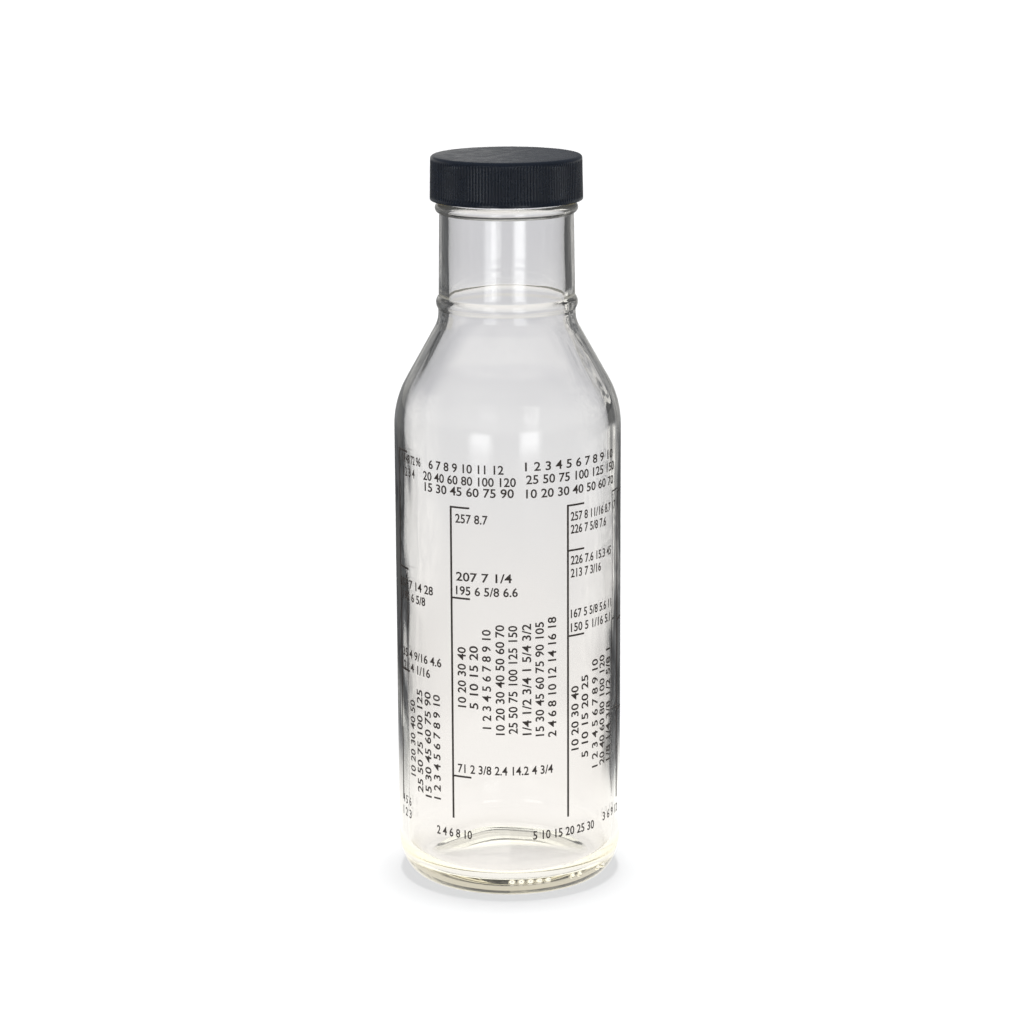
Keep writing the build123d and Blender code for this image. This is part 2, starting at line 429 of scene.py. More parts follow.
# Ripples of the glass: lobes round it, length up it, phase and size
inner_ripples = (
    (1, 190.0, 0.6, 0.16),
    (2, 90.0, 2.1, 0.07),
    (3, -61.0, 4.0, 0.05),
    (5, 37.0, 1.2, 0.035),
    (8, -29.0, 5.1, 0.02),
    (13, 21.0, 0.3, 0.012),
)
side_ripples = (
    (9, 43.0, 2.7, 0.035),
    (17, -110.0, 0.9, 0.02),
    (29, 67.0, 4.4, 0.012),
    (43, -85.0, 1.8, 0.007),
)
outer_ripples = (
    (3, 83.0, 1.0, 0.012),
    (7, -47.0, 3.3, 0.006),
    (11, 31.0, 2.2, 0.003),
)


def ripple_share(heights, foot, rise, end):
    """How much ripple there is at each height: it comes in above a foot and then fades out."""
    low_end, low = foot + rise[0], foot + rise[1]
    high, high_end = end
    return smooth((heights - low_end) / (low - low_end)) * smooth(
        (high_end - heights) / (high_end - high)
    )


def make_glass():
    """Glass bottle: outside and inside in one closed skin, with its thread and dots."""
    outside = outer_outline()
    inside = inner_outline()
    outline = eased(np.vstack((outside, inside)))
    azimuths = glass_columns()
    rim_row = int(np.argmax(outline[:, 1]))
    is_outside = np.arange(len(outline)) < rim_row
    heights = outline[:, 1]
    bead_top = rim_height - finish_height
    in_thread = is_outside & (heights > bead_top + corner_reach)
    in_thread &= outline[:, 0] < neck_top_radius
    in_heel = is_outside & (heights < heel_height)
    offset = np.where(in_heel[:, None], dot_rise(outline, azimuths), 0.0)
    offset += in_thread[:, None] * helical_rise(
        azimuths, heights, thread_low, 0, thread_root_width, thread_crest_width, thread_rise
    )
    inner_share = ripple_share(heights, floor_height, inner_ripple_rise, inner_ripple_end)
    outer_share = ripple_share(heights, heel_height, outer_ripple_rise, outer_ripple_end)
    sideways = np.abs(np.sin(np.radians(azimuths)))
    side_share = smooth((sideways - side_ripple_start) / side_ripple_reach)
    inside_waves = waves(azimuths, heights, inner_ripples)
    inside_waves += waves(azimuths, heights, side_ripples) * side_share[None, :]
    offset += np.where(
        is_outside[:, None],
        -(np.abs(waves(azimuths, heights, outer_ripples)) + ink_proud) * outer_share[:, None],
        inside_waves * inner_share[:, None],
    )
    return turned("clear_glass_bottle", outline, azimuths, offset)


def make_cap():
    """Screw cap: plain top and lip, ribbed skirt, inside thread."""
    lip_top = cap_bottom + cap_lip_height
    rib_top = cap_top - cap_rib_top_gap
    skirt_top_radius = cap_lip_radius - cap_draft
    edge_height = cap_top - cap_top_edge_radius
    top_edge = (cap_top_edge_radius, cap_top_edge_radius)
    lip_edge = (cap_edge_radius, cap_edge_radius)
    rows = [
        [(0, cap_ceiling)],
        straight((2, cap_ceiling), (cap_bore_radius, cap_ceiling), 4),
        straight((cap_bore_radius, cap_ceiling), (cap_bore_radius, cap_bottom), thread_step),
        straight(
            (cap_bore_radius, cap_bottom), (cap_lip_radius - cap_edge_radius, cap_bottom), 0.6
        ),
        round_run(
            (cap_lip_radius - cap_edge_radius, cap_bottom + cap_edge_radius),
            lip_edge,
            -90,
            0,
            cap_edge_radius / 3,
        ),
        straight((cap_lip_radius, cap_bottom + cap_edge_radius), (cap_lip_radius, lip_top), 0.25),
        straight((cap_lip_radius, lip_top), (skirt_top_radius, rib_top), 0.5),
        straight((skirt_top_radius, rib_top), (skirt_top_radius, edge_height), 0.1),
        round_run(
            (skirt_top_radius - cap_top_edge_radius, edge_height),
            top_edge,
            0,
            90,
            cap_top_edge_radius / 5,
        ),
        straight((skirt_top_radius - cap_top_edge_radius, cap_top), (1, cap_top), 3),
        [(0, cap_top)],
    ]
    outline = eased(np.vstack(rows))
    columns = cap_rib_count * cap_columns_per_rib
    azimuths = np.arange(columns) * 360 / columns
    heights = outline[:, 1]
    bottom_row = int(np.argmin(heights))
    is_inside = np.arange(len(outline)) < bottom_row
    on_skirt = ~is_inside & (outline[:, 0] > skirt_top_radius - cap_top_edge_radius)
    across = np.abs((azimuths * cap_rib_count / 360 + 0.5) % 1 - 0.5)
    flank = (cap_rib_foot_share - cap_rib_crest_share) / 2
    valley = 1 - smooth((cap_rib_foot_share / 2 - across) / flank)
    along = smooth((heights - lip_top) / cap_rib_fade) * smooth(
        (rib_top - heights) / cap_rib_fade
    )
    offset = -cap_rib_depth * (on_skirt * along)[:, None] * valley[None, :]
    in_thread = is_inside & (heights < cap_ceiling - corner_reach) & (
        heights > cap_bottom + corner_reach
    )
    offset += in_thread[:, None] * helical_rise(
        azimuths,
        heights,
        cap_thread_low,
        cap_thread_lead_angle,
        cap_thread_root_width,
        cap_thread_crest_width,
        cap_thread_rise,
    )
    return turned("ribbed_screw_cap", outline, azimuths, offset)


def make_liner():
    """Foam disc with the faint ring that the glass rim has pressed into it."""
    top, bottom = liner_high.z, liner_low.z
    edge = (liner_edge_radius, liner_edge_radius)
    straight_radius = liner_radius - liner_edge_radius
    rows = [
        [(0, bottom)],
        straight((1, bottom), (bore_radius - 1, bottom), 3),
        straight((bore_radius - 1, bottom), (straight_radius, bottom), 0.15),
        round_run((straight_radius, bottom + liner_edge_radius), edge, -90, 0, 0.05),
        round_run((straight_radius, top - liner_edge_radius), edge, 0, 90, 0.05),
        straight((straight_radius, top), (1, top), 3),
        [(0, top)],
    ]
    outline = np.vstack(rows)
    azimuths = np.arange(0, 360, 2.0)
    rim_middle = (bore_radius + finish_root_radius) / 2
    rim_half = (finish_root_radius - bore_radius) / 2
    is_bottom = outline[:, 1] < (top + bottom) / 2
    pressed = smooth((rim_half - np.abs(outline[:, 0] - rim_middle)) / rim_edge_radius)
    offset = -pressed_ring_depth * (is_bottom * pressed)[:, None] * np.ones(len(azimuths))
    return turned("foam_liner", outline, azimuths, offset)


# Rows of numbers that read across: text, azimuth of both ends, height of the middle
level_rows = (
    ("6 7 8 9 10 11 12", -43, -2, 119.7),
    ("20 40 60 80 100 120", -47, 4, 116.4),
    ("15 30 45 60 75 90", -46, 3, 113.4),
    ("1 2 3 4 5 6 7 8 9 10", 8.5, 66, 120.5),
    ("25 50 75 100 125 150", 9, 68, 117.0),
    ("10 20 30 40 50 60 70", 9, 67, 113.2),
    ("257 8.7", -27, -10, 106.1),
    ("207 7 1/4", -26.8, 1.8, 90.3),
    ("195 6 5/8 6.6", -26.9, 4.7, 86.5),
    ("71 2 3/8 2.4 14.2 4 3/4", -26.7, 22.5, 37.0),
    ("257 8 11/16 8.7 17", 32.8, 69.8, 106.0),
    ("226 7 5/8 7.6", 32.8, 58.7, 102.5),
    ("226 7.6 15.3 45", 32.8, 64.3, 94.0),
    ("213 7 3/16", 32.8, 54, 90.5),
    ("167 5 5/8 5.6 11", 32.8, 64.5, 79.3),
    ("150 5 1/16 5.1", 32.8, 63.3, 75.5),
    ("24 48 72 96", -67, -49, 119.6),
    ("1 2 3 4", -66, -54, 116.0),
    ("207 7 14 28", -72, -41, 85.0),
    ("195 6 5/8", -68, -46.6, 81.5),
    ("135 4 9/16 4.6", -71, -36, 65.5),
    ("121 4 1/16", -70, -43.6, 61.8),
    ("2 4 6 8 10", -39.9, -19.3, 18.4),
    ("5 10 15 20 25 30", 11.9, 48.5, 18.6),
    ("3 6 9 12", 56, 75, 19.6),
    ("1 2 3", -72, -61, 19.6),
    ("4 5 6", -72, -61, 23.2),
)

# Rows of numbers that read upwards: text, azimuth of the middle, heights of both ends
upright_rows = (
    ("10 20 30 40", -24.1, 54.2, 70.9),
    ("5 10 15 20", -17.7, 54.0, 71.5),
    ("1 2 3 4 5 6 7 8 9 10", -11.1, 48.7, 76.2),
    ("10 20 30 40 50 60 70", -4.35, 47.1, 77.6),
    ("25 50 75 100 125 150", 2.1, 47.4, 77.4),
    ("1/4 1/2 3/4 1 5/4 3/2", 9.0, 47.0, 77.8),
    ("15 30 45 60 75 90 105", 15.6, 46.5, 78.1),
    ("2 4 6 8 10 12 14 16 18", 22.15, 45.9, 79.2),
    ("10 20 30 40", 35.3, 41.1, 59.1),
    ("5 10 15 20 25", 41.8, 38.4, 61.5),
    ("1 2 3 4 5 6 7 8 9 10", 49.2, 34.7, 65.2),
    ("20 40 60 80 100 120", 55.2, 34.7, 65.6),
    ("1/8 1/4 3/8 1/2 5/8 1", 61.3, 35.0, 66.8),
    ("1 2 3 4 5 6 7 8 9 10", -39.4, 27.0, 56.4),
    ("15 30 45 60 75 90", -45.6, 26.8, 56.6),
    ("25 50 75 100 125", -51.9, 27.4, 56.5),
    ("10 20 30 40 50", -58.4, 31.3, 52.8),
)


def number_mesh(text, width):
    """Vertices and faces of a flat solid number row, centred, in millimetres."""
    curve = bpy.data.curves.new("number_row", "FONT")
    curve.body = text
    curve.align_x = "CENTER"
    curve.resolution_u = 3
    curve.extrude = 0.5
    curve.offset = digit_weight
    holder = bpy.data.objects.new("number_row", curve)
    bpy.context.scene.collection.objects.link(holder)
    bpy.context.view_layer.update()
    shape = bpy.data.meshes.new_from_object(
        holder.evaluated_get(bpy.context.evaluated_depsgraph_get())
    )
    points = np.zeros(len(shape.vertices) * 3)
    shape.vertices.foreach_get("co", points)
    points = points.reshape(-1, 3)
    faces = [tuple(face.vertices) for face in shape.polygons]
    bpy.data.objects.remove(holder)
    bpy.data.curves.remove(curve)
    bpy.data.meshes.remove(shape)
    low, high = points.min(0), points.max(0)
    points -= (low + high) / 2
    points[:, 0] *= width / (high[0] - low[0])
    points[:, 1] *= digit_height / (high[1] - low[1])
    return points, faces


def wrapped(points, azimuth, height, upright):
    """A flat number row laid on the round body, in metres."""
    across, up = (-points[:, 1], points[:, 0]) if upright else (points[:, 0], points[:, 1])
    share = (points[:, 2] - points[:, 2].min()) / np.ptp(points[:, 2])
    radius = body_radius - ink_depth * (1 - share)
    turn = math.radians(azimuth) + across / body_radius
    return np.column_stack((radius * np.sin(turn), -radius * np.cos(turn), height + up)) * MM


def make_numbers(name, rows):
    """One piece of enamel from rows of (text, azimuth, height, width, upright)."""
    all_points, all_faces, count = [], [], 0
    for text, azimuth, height, width, upright in rows:
        points, faces = number_mesh(text, width)
        all_points.append(wrapped(points, azimuth, height, upright))
        all_faces += [tuple(count + corner for corner in face) for face in faces]
        count += len(points)
    piece = mesh_object(name, np.vstack(all_points), all_faces)
    piece.data.polygons.foreach_set("use_smooth", [False] * len(piece.data.polygons))
    return piece


def number_rows():
    """Every number row as (text, azimuth, height, width, upright)."""
    rows = []
    for text, first, last, height in level_rows:
        width = math.radians(last - first) * body_radius
        rows.append((text, (first + last) / 2, height, width, False))
    for text, azimuth, low, high in upright_rows:
        rows.append((text, azimuth, (low + high) / 2, high - low, True))
    return rows


class Shader:
    """A material's node tree with short calls to add and join nodes."""

    def __init__(self, owner):
        self.tree = owner.node_tree
        self.tree.nodes.clear()

    def node(self, kind, inputs=None, **settings):
        new = self.tree.nodes.new(kind)
        for key, value in settings.items():
            setattr(new, key, value)
        for key, value in (inputs or {}).items():
            self.put(new.inputs[key], value)
        return new

    def put(self, socket, value):
        if isinstance(value, bpy.types.NodeSocket):
            self.tree.links.new(value, socket)
        else:
            socket.default_value = value

    def math(self, operation, *values, clamp=False):
        new = self.node("ShaderNodeMath", operation=operation, use_clamp=clamp)
        for socket, value in zip(new.inputs, values):
            self.put(socket, value)
        return new.outputs[0]

    def noise(self, scale, detail=3.0, roughness=0.55, stretch=None, place=None):
        place = place or self.node("ShaderNodeTexCoord").outputs["Object"]
        if stretch:
            place = self.node(
                "ShaderNodeMapping", {"Vector": place, "Scale": stretch}
            ).outputs[0]
        return self.node(
            "ShaderNodeTexNoise",
            {"Vector": place, "Scale": scale, "Detail": detail, "Roughness": roughness},
        ).outputs["Fac"]

    def ranged(self, value, low, high, out_low, out_high):
        return self.node(
            "ShaderNodeMapRange",
            {
                "Value": value,
                "From Min": low,
                "From Max": high,
                "To Min": out_low,
                "To Max": out_high,
            },
            interpolation_type="SMOOTHSTEP",
        ).outputs[0]

    def blend(self, share, first, second):
        new = self.node("ShaderNodeMix", data_type="RGBA")
        self.put(new.inputs[0], share)
        self.put(new.inputs[6], first)
        self.put(new.inputs[7], second)
        return new.outputs[2]

    def bump(self, height, strength, distance):
        return self.node(
            "ShaderNodeBump",
            {"Height": height, "Strength": strength, "Distance": distance},
        ).outputs[0]

    def finish(self, surface, volume=None, kind="ShaderNodeOutputMaterial"):
        end = self.node(kind)
        self.put(end.inputs["Surface"], surface)
        if volume:
            self.put(end.inputs["Volume"], volume)


def new_material(name):
    material = bpy.data.materials.new(name)
    material.use_nodes = True
    return material, Shader(material)


def glass_material():
    """Clear flint glass, faintly olive where it is thick, with slight handling haze.

    Light that has turned back in it more often than the renderer follows glows on, in
    the thick base as the pale floor would and higher up as the darker sides would,
    where it would end in black.
    """
    material, shader = new_material("clear_flint_glass")
    haze = shader.noise(45.0, 4.0)
    smear = shader.noise(14.0, 2.0, stretch=(1.0, 1.0, 0.3))
    marks = shader.math("MULTIPLY", haze, smear)
    grain = shader.noise(260.0, 2.0, stretch=(1.0, 1.0, 0.25))
    path = shader.node("ShaderNodeLightPath").outputs
    deep = shader.math("GREATER_THAN", path["Glossy Depth"], 3.5)
    deepest = shader.math("GREATER_THAN", path["Ray Depth"], 11.5)
    place = shader.node("ShaderNodeTexCoord").outputs["Object"]
    height = shader.node("ShaderNodeSeparateXYZ", {0: place}).outputs["Z"]
    glow = shader.ranged(height, *base_glow_reach, base_glow, body_glow)
    glow = shader.ranged(height, *shoulder_glow_reach, glow, shoulder_glow)
    glow = shader.ranged(height, *neck_glow_reach, glow, neck_glow)
    surface = shader.node(
        "ShaderNodeBsdfPrincipled",
        {
            "Emission Color": (0.95, 0.97, 1.0, 1),
            "Emission Strength": shader.math(
                "MULTIPLY", shader.math("MAXIMUM", deep, deepest), glow
            ),
            "Base Color": shader.blend(haze, (0.99, 0.986, 0.98, 1), (1.0, 1.0, 1.0, 1)),
            "Roughness": shader.ranged(marks, 0.22, 0.42, 0.0, 0.045),
            "IOR": 1.52,
            "Transmission Weight": 1.0,
            "Normal": shader.bump(grain, 0.02, 0.0004),
        },
    )
    tint = shader.node(
        "ShaderNodeVolumeAbsorption", {"Color": (0.83, 0.775, 0.59, 1), "Density": 24.0}
    )
    shader.finish(surface.outputs[0], tint.outputs[0])
    return material


def plastic_material():
    """Satin moulded plastic, blue black, with paler rubbed rib crests."""
    material, shader = new_material("satin_black_plastic")
    cloud = shader.noise(90.0, 4.0)
    grain = shader.noise(2600.0, 2.0)
    worn = shader.node("ShaderNodeNewGeometry").outputs["Pointiness"]
    edge = shader.ranged(worn, 0.52, 0.62, 0.0, 1.0)
    rubbed = shader.math("MULTIPLY", edge, shader.ranged(cloud, 0.4, 0.65, 0.2, 0.8))
    plain = shader.blend(cloud, (0.0055, 0.0100, 0.020, 1), (0.0085, 0.0140, 0.026, 1))
    surface = shader.node(
        "ShaderNodeBsdfPrincipled",
        {
            "Base Color": shader.blend(rubbed, plain, (0.026, 0.03, 0.036, 1)),
            "Roughness": shader.ranged(shader.noise(320.0, 3.0), 0.3, 0.7, 0.24, 0.32),
            "IOR": 1.5,
            "Normal": shader.bump(grain, 0.25, 0.00006),
        },
    )
    shader.finish(surface.outputs[0])
    return material


def foam_material():
    """White closed-cell foam."""
    material, shader = new_material("white_liner_foam")
    cells = shader.node(
        "ShaderNodeTexVoronoi",
        {"Vector": shader.node("ShaderNodeTexCoord").outputs["Object"], "Scale": 4200.0},
    ).outputs["Distance"]
    cloud = shader.noise(160.0)
    surface = shader.node(
        "ShaderNodeBsdfPrincipled",
        {
            "Base Color": shader.blend(cloud, (0.74, 0.735, 0.70, 1), (0.86, 0.855, 0.83, 1)),
            "Roughness": shader.ranged(cloud, 0.3, 0.7, 0.55, 0.75),
            "Normal": shader.bump(cells, 0.5, 0.0001),
        },
    )
    shader.finish(surface.outputs[0])
    return material


def enamel_material():
    """Fired-on dark brown enamel, glossy, a little uneven in depth."""
    material, shader = new_material("fired_dark_enamel")
    cloud = shader.noise(700.0, 4.0)
    speckle = shader.noise(5200.0, 2.0)
    surface = shader.node(
        "ShaderNodeBsdfPrincipled",
        {
            "Base Color": shader.blend(cloud, (0.03, 0.023, 0.019, 1), (0.075, 0.06, 0.052, 1)),
            "Roughness": shader.ranged(cloud, 0.3, 0.7, 0.28, 0.45),
            "Normal": shader.bump(speckle, 0.3, 0.00003),
        },
    )
    shader.finish(surface.outputs[0])
    return material


def dress(piece, body, node, material):
    """Gives a piece its body and material, and hides the CAD node that it stands for."""
    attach(piece, body)
    if node:
        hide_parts(node)
    piece.data.materials.clear()
    piece.data.materials.append(material)


glass = glass_material()
plastic = plastic_material()
foam = foam_material()
enamel = enamel_material()

bottle = make_glass()
# Soft light passes the clear glass, which the renderer would otherwise stop there
bottle.visible_diffuse = False
dress(bottle, "bottle", "glass_bottle", glass)
dress(make_cap(), "cap", "screw_cap", plastic)
dress(make_liner(), "liner", "cap_liner", foam)
dress(make_numbers("printed_numbers", number_rows()), "bottle", None, enamel)
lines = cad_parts["fill_scale_print"]
lines.data.materials.clear()
lines.data.materials.append(enamel)

# Studio
floor_radius = 40.0
floor_albedo = 0.8
floor_glow = 0.13
ambient_front = (0.5, 0.505, 0.51, 1)
ambient_back = (1.0, 1.0, 1.0, 1)

# The floor and the room are plain to the camera. To glass they show painted greys: painted shade
# and reflections that stand in for a darker studio around it.
# A reach is a distance on the floor from the bottle's axis. A run is two bearings, in degrees
# off straight behind, or two heights in the room, and then, if it has four values, the grey
# level at each.

# What the glass shows straight through it, and the reaches on the floor where that turns
near_white = (1.035, 1.01, 0.995, 1)
middle_grey = (0.88, 0.885, 0.914, 1)
far_grey = (0.725, 0.73, 0.775, 1)
low_grey = (0.79, 0.78, 0.775, 1)
high_grey = (0.84, 0.85, 0.88, 1)
middle_reach = (0.08, 0.66)
far_reach = (0.55, 1.15)

# Heights in the room between which it turns from the low grey to the high one
through_run = (0.0, 0.8, 0, 1)

# Reaches on the floor for what the glass mirrors, and its tints in the light and the dark
left_near_reach = (0.075, 0.17)
right_near_reach = (0.08, 0.13)
body_reach = (0.5, 0.85)
right_body_reach = (0.7, 0.86)
low_reach = (0.23, 0.3)
light_tint = (1.0, 0.99, 0.965, 1)
dark_tint = (0.97, 1.0, 1.05, 1)
tint_run = (0.1, 0.6, 0, 1)

# Painted shade: a dark card painted on the floor to the right, which only the glass shows
painted_card_start = (22, 33, 0, 1)
painted_card_end = (75, 95, 1, 0)
painted_card_grey = (0.2, 0.2, 0.2, 1)

# The floor as light turned back inside the glass shows it
left_body_run = (42, 60, 0.06, 0.5)
far_left_run = (12, 26, 0.3, 0.07)
left_streaks = (0.4, 0.6, 0.5, 1.9)
right_body_run = (14, 20, 0.06, 0.35)
right_side_run = (33, 41)
right_side_level = 0.9
right_low_level = 0.08
far_right_run = (19, 28, 0.45, 0.05)
right_streaks = (0.4, 0.6, 0.7, 1.4)
floor_front_run = (75, 105)
floor_front_level = 0.12
floor_streak_scale = 22.0

# The floor as the glass mirrors it
mirrored_left_level = 0.3
mirrored_right_level = 0.5
mirrored_body_level = 0.08
mirrored_front_run = (70, 100)
mirrored_front_level = 0.1

# The room as light turned back inside the glass shows it
room_left_run = (8, 24, 0.3, 0.1)
room_right_run = (14, 46, 0.08, 0.52)
room_streaks = (0.4, 0.6, 0.4, 1.9)
room_streak_scale = 16.0
room_front_low_run = (0.02, 0.12, 0.3, 0.95)
room_front_top_run = (0.62, 0.78)
room_front_top_level = 0.8
room_front_run = (70, 95)

# The room as the glass mirrors it
room_mirrored_left = 0.6
room_mirrored_right = 0.2
room_mirrored_front = 0.1
room_mirrored_high_run = (0.17, 0.24)
room_mirrored_high = 0.22


def ray_kinds(shader):
    """Sockets for how a ray came here: straight, shown by glass, mirrored, turned back in it."""
    path = shader.node("ShaderNodeLightPath").outputs
    shown = shader.math("MAXIMUM", path["Is Glossy Ray"], path["Is Transmission Ray"])
    clear = shader.math("LESS_THAN", path["Diffuse Depth"], 0.5)
    shown = shader.math("MULTIPLY", shown, clear)
    bounced = shader.math("GREATER_THAN", path["Glossy Depth"], 0.5)
    entered = shader.math("GREATER_THAN", path["Transmission Depth"], 0.5)
    turned_back = shader.math("MULTIPLY", bounced, entered)
    return path["Is Camera Ray"], shown, bounced, turned_back


def bearings(shader, place):
    """Sockets of a place from the bottle: degrees off straight behind, right side, height."""
    parts = shader.node("ShaderNodeSeparateXYZ", {0: place}).outputs
    turn = shader.math("ARCTAN2", parts["X"], parts["Y"])
    aside = shader.math("ABSOLUTE", shader.math("DEGREES", turn))
    return aside, shader.math("GREATER_THAN", parts["X"], 0.0), parts["Z"]


def tinted(shader, level):
    """Colour of a grey level: a warm white, or a cool dark grey."""
    tint = shader.blend(shader.ranged(level, *tint_run), dark_tint, light_tint)
    return shader.node(
        "ShaderNodeVectorMath", {0: tint, "Scale": level}, operation="SCALE"
    ).outputs[0]


def floor_looks(shader, place):
    """Painted greys that the glass shows of the floor: through it, mirrored, and turned back
    inside it.
    """
    away = shader.node("ShaderNodeVectorMath", {0: place}, operation="LENGTH").outputs["Value"]
    aside, right, _ = bearings(shader, place)
    through = shader.blend(shader.ranged(away, *middle_reach, 0, 1), near_white, middle_grey)
    through = shader.blend(shader.ranged(away, *far_reach, 0, 1), through, far_grey)
    # Painted shade seen through the glass: the dark card painted on the floor to the right
    painted_card = shader.math("MULTIPLY", right, shader.ranged(aside, *painted_card_start))
    painted_card = shader.math("MULTIPLY", painted_card, shader.ranged(aside, *painted_card_end))
    painted_card = shader.math("MULTIPLY", painted_card, shader.ranged(away, *low_reach, 1, 0))
    painted_card = shader.math("MULTIPLY", painted_card, shader.ranged(away, *right_near_reach, 0, 1))
    through = shader.blend(painted_card, through, painted_card_grey)
    streaks = shader.noise(floor_streak_scale, 2.0, place=place)
    left_body = shader.ranged(aside, *left_body_run)
    left_back = shader.ranged(
        away, *body_reach, left_body, shader.ranged(aside, *far_left_run)
    )
    left_back = shader.math("MULTIPLY", left_back, shader.ranged(streaks, *left_streaks))
    left_back = shader.ranged(away, *left_near_reach, 1.0, left_back)
    right_body = shader.ranged(aside, *right_body_run)
    right_body = shader.ranged(aside, *right_side_run, right_body, right_side_level)
    right_body = shader.ranged(away, *low_reach, right_low_level, right_body)
    right_back = shader.ranged(
        away, *right_body_reach, right_body, shader.ranged(aside, *far_right_run)
    )
    right_back = shader.math("MULTIPLY", right_back, shader.ranged(streaks, *right_streaks))
    right_back = shader.ranged(away, *right_near_reach, 1.0, right_back)
    back = shader.ranged(right, 0, 1, left_back, right_back)
    front = shader.ranged(away, *right_near_reach, 1.0, floor_front_level)
    turned = shader.ranged(aside, *floor_front_run, back, front)
    mirrored = shader.ranged(right, 0, 1, mirrored_left_level, mirrored_right_level)
    mirrored = shader.ranged(away, *body_reach, mirrored_body_level, mirrored)
    mirrored = shader.ranged(aside, *mirrored_front_run, mirrored, mirrored_front_level)
    mirrored = shader.ranged(away, *left_near_reach, 1.0, mirrored)
    return through, tinted(shader, mirrored), tinted(shader, turned)


def sky_looks(shader, way):
    """Painted greys that the glass shows of the room: through it, mirrored, and turned back
    inside it.
    """
    aside, right, up = bearings(shader, way)
    through = shader.blend(shader.ranged(up, *through_run), low_grey, high_grey)
    left_back = shader.ranged(aside, *room_left_run)
    right_back = shader.ranged(aside, *room_right_run)
    back = shader.ranged(right, 0, 1, left_back, right_back)
    streaks = shader.noise(room_streak_scale, 2.0, place=way)
    back = shader.math("MULTIPLY", back, shader.ranged(streaks, *room_streaks))
    front = shader.ranged(up, *room_front_low_run)
    front = shader.ranged(up, *room_front_top_run, front, room_front_top_level)
    turned = shader.ranged(aside, *room_front_run, back, front)
    mirrored = shader.ranged(right, 0, 1, room_mirrored_left, room_mirrored_right)
    mirrored = shader.ranged(aside, *mirrored_front_run, mirrored, room_mirrored_front)
    mirrored = shader.ranged(up, *room_mirrored_high_run, mirrored, room_mirrored_high)
    return through, tinted(shader, mirrored), tinted(shader, turned)


def make_floor():
    """Level white floor, so wide that its edge isn't seen."""
    mesh = bpy.data.meshes.new("studio_floor")
    side_count = 128
    turns = [2 * math.pi * side / side_count for side in range(side_count)]
    points = [(floor_radius * math.cos(t), floor_radius * math.sin(t), 0) for t in turns]
    mesh.from_pydata(points, [], [range(side_count)])
    floor = bpy.data.objects.new("studio_floor", mesh)
    bpy.context.scene.collection.objects.link(floor)
    material, shader = new_material("white_floor")
    place = shader.node("ShaderNodeNewGeometry").outputs["Position"]
    camera, shown, bounced, turned_back = ray_kinds(shader)
    # To rays from the glass the floor shows painted greys, painted shade and reflections, in
    # place of its white
    through, mirrored, turned = floor_looks(shader, place)
    look = shader.blend(bounced, through, mirrored)
    look = shader.blend(turned_back, look, turned)
    albedo = (floor_albedo, floor_albedo, floor_albedo, 1)
    matt = shader.node("ShaderNodeBsdfDiffuse", {"Color": albedo})
    glow = shader.node(
        "ShaderNodeEmission", {"Strength": shader.math("MULTIPLY", camera, floor_glow)}
    )
    plain = shader.node("ShaderNodeAddShader", {0: matt.outputs[0], 1: glow.outputs[0]})
    reflected = shader.node("ShaderNodeEmission", {"Color": look})
    total = shader.node(
        "ShaderNodeMixShader", {0: shown, 1: plain.outputs[0], 2: reflected.outputs[0]}
    )
    shader.finish(total.outputs[0])
    mesh.materials.append(material)


def make_world():
    """White to the camera, a soft even light to matt surfaces, and painted darker greys, painted
    shade and reflections, to what the glass mirrors or lets through.
    """
    world = bpy.data.worlds.new("studio")
    world.use_nodes = True
    bpy.context.scene.world = world
    shader = Shader(world)
    camera, shown, bounced, turned_back = ray_kinds(shader)
    way = shader.node("ShaderNodeNewGeometry").outputs["Position"]
    through, mirrored, turned = sky_looks(shader, way)
    look = shader.blend(bounced, through, mirrored)
    look = shader.blend(turned_back, look, turned)
    side = shader.node("ShaderNodeSeparateXYZ", {0: way}).outputs["Y"]
    ambient = shader.blend(shader.ranged(side, -1, 1, 0, 1), ambient_front, ambient_back)
    look = shader.blend(shown, ambient, look)
    look = shader.blend(camera, look, (1, 1, 1, 1))
    background = shader.node("ShaderNodeBackground", {"Color": look})
    shader.finish(background.outputs[0], kind="ShaderNodeOutputWorld")


# Overhead lamp: its spread in degrees, its energy, and its azimuth, distance and height and
# the height that it aims at
top_light_angle = 11
top_light_energy = 1.4
top_light_place = (170, 0.04, 1.2, 0.1)

# Softboxes: azimuth, distance, width, height, radiance and the share that fades at each edge
left_softbox = (-28, 0.5, 0.25, 0.16, 2.5, 0.28)
right_softbox = (22, 0.5, 0.25, 0.195, 2.5, 0.28)

# Camera: where it stands in millimetres, how far it looks down and leans, and its lens
camera_place = (1.08, -838.87, 294.3)
camera_down_angle = 12.951
camera_roll_angle = -0.28
camera_sensor_width = 36.0
camera_lens = 110.61


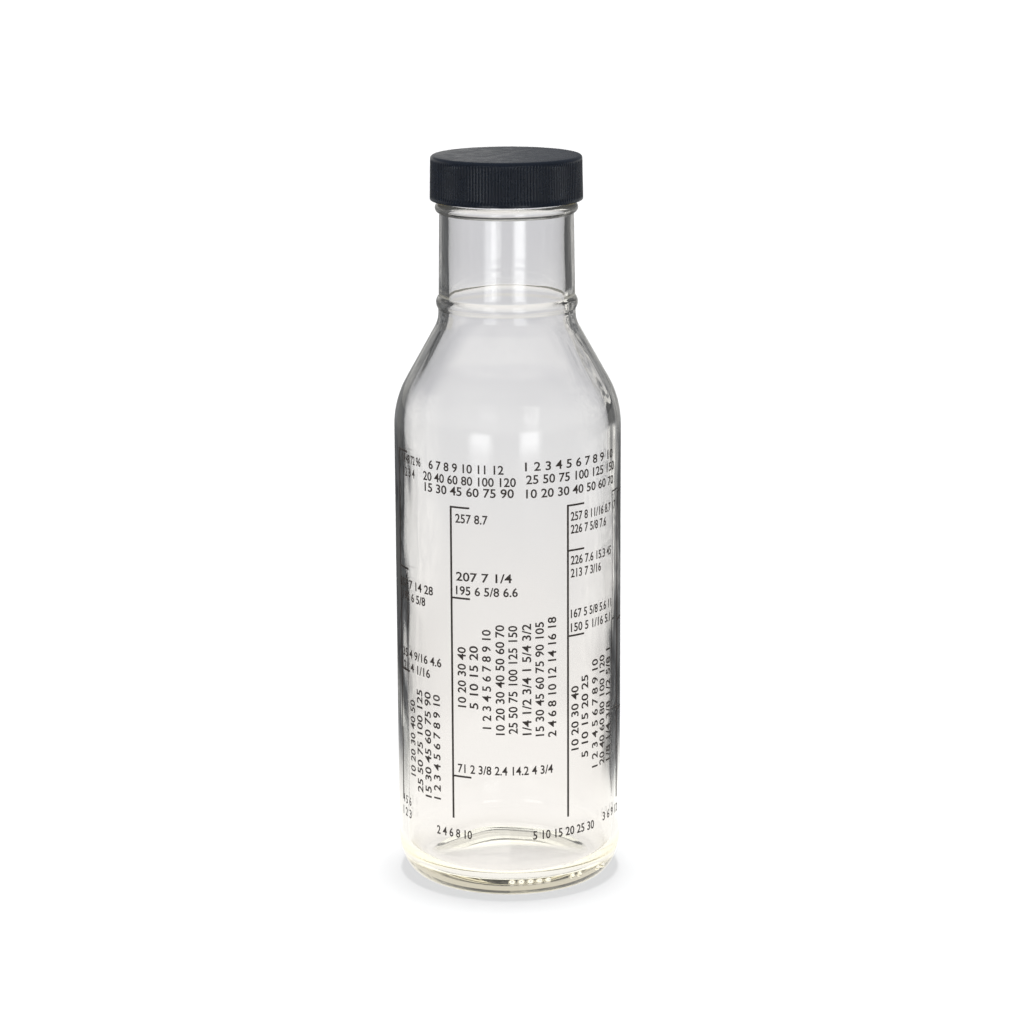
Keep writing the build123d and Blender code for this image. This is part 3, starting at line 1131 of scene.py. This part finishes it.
def make_softbox(name, azimuth, distance, width, height, radiance, edge_share):
    """Softbox that stands on the floor at an azimuth from the front and faces the bottle.

    It is bright in the middle, fades over edge_share of its width and height at each
    edge, and shows only in reflections.
    """
    lamp = bpy.data.lights.new(name, "AREA")
    lamp.shape = "RECTANGLE"
    lamp.size, lamp.size_y = width, height
    lamp.energy = radiance * math.pi * width * height
    lamp.color = (0.96, 0.98, 1.0)
    lamp.use_nodes = True
    shader = Shader(lamp)
    across = shader.node("ShaderNodeSeparateXYZ")
    shader.put(
        across.inputs[0], shader.node("ShaderNodeNewGeometry").outputs["Parametric"]
    )
    fade = 1.0
    for side in across.outputs[:2]:
        inward = shader.math("MINIMUM", side, shader.math("SUBTRACT", 1.0, side))
        fade = shader.math("MULTIPLY", fade, shader.ranged(inward, 0, edge_share, 0, 1))
    glow = shader.node("ShaderNodeEmission", {"Strength": fade})
    shader.finish(glow.outputs[0], kind="ShaderNodeOutputLight")
    holder = place_lamp(lamp, azimuth, distance, height / 2, height / 2)
    holder.visible_camera = False
    holder.visible_diffuse = False


def place_lamp(lamp, azimuth, distance, height, aim_height):
    """Puts a lamp at an azimuth and distance from the bottle's axis, aimed at the axis."""
    turn = math.radians(azimuth)
    place = Vector((distance * math.sin(turn), -distance * math.cos(turn), height))
    aim = Vector((0, 0, aim_height)) - place
    holder = bpy.data.objects.new(lamp.name, lamp)
    holder.matrix_world = (
        Matrix.Translation(place) @ aim.to_track_quat("-Z", "Y").to_matrix().to_4x4()
    )
    bpy.context.scene.collection.objects.link(holder)
    return holder


def make_top_light():
    """Wide soft light overhead and a little behind, which gives the shadow."""
    lamp = bpy.data.lights.new("top_light", "SUN")
    lamp.angle = math.radians(top_light_angle)
    lamp.energy = top_light_energy
    holder = place_lamp(lamp, *top_light_place)
    holder.visible_camera = False
    holder.visible_glossy = False
    holder.visible_transmission = False


def make_camera():
    """The photograph's view: a long lens a little above the bottle, looking down at it."""
    camera = bpy.data.cameras.new("photo_camera")
    camera.sensor_fit = "HORIZONTAL"
    camera.sensor_width = camera_sensor_width
    camera.lens = camera_lens
    camera.clip_start = 0.05
    camera.clip_end = 200.0
    holder = bpy.data.objects.new("photo_camera", camera)
    pitch, roll = math.radians(90 - camera_down_angle), math.radians(camera_roll_angle)
    holder.matrix_world = (
        Matrix.Translation([part * MM for part in camera_place])
        @ Matrix.Rotation(pitch, 4, "X")
        @ Matrix.Rotation(roll, 4, "Z")
    )
    bpy.context.scene.collection.objects.link(holder)
    bpy.context.scene.camera = holder


make_floor()
make_world()
make_softbox("left_softbox", *left_softbox)
make_softbox("right_softbox", *right_softbox)
make_top_light()
make_camera()
bpy.context.scene.view_settings.view_transform = "Standard"
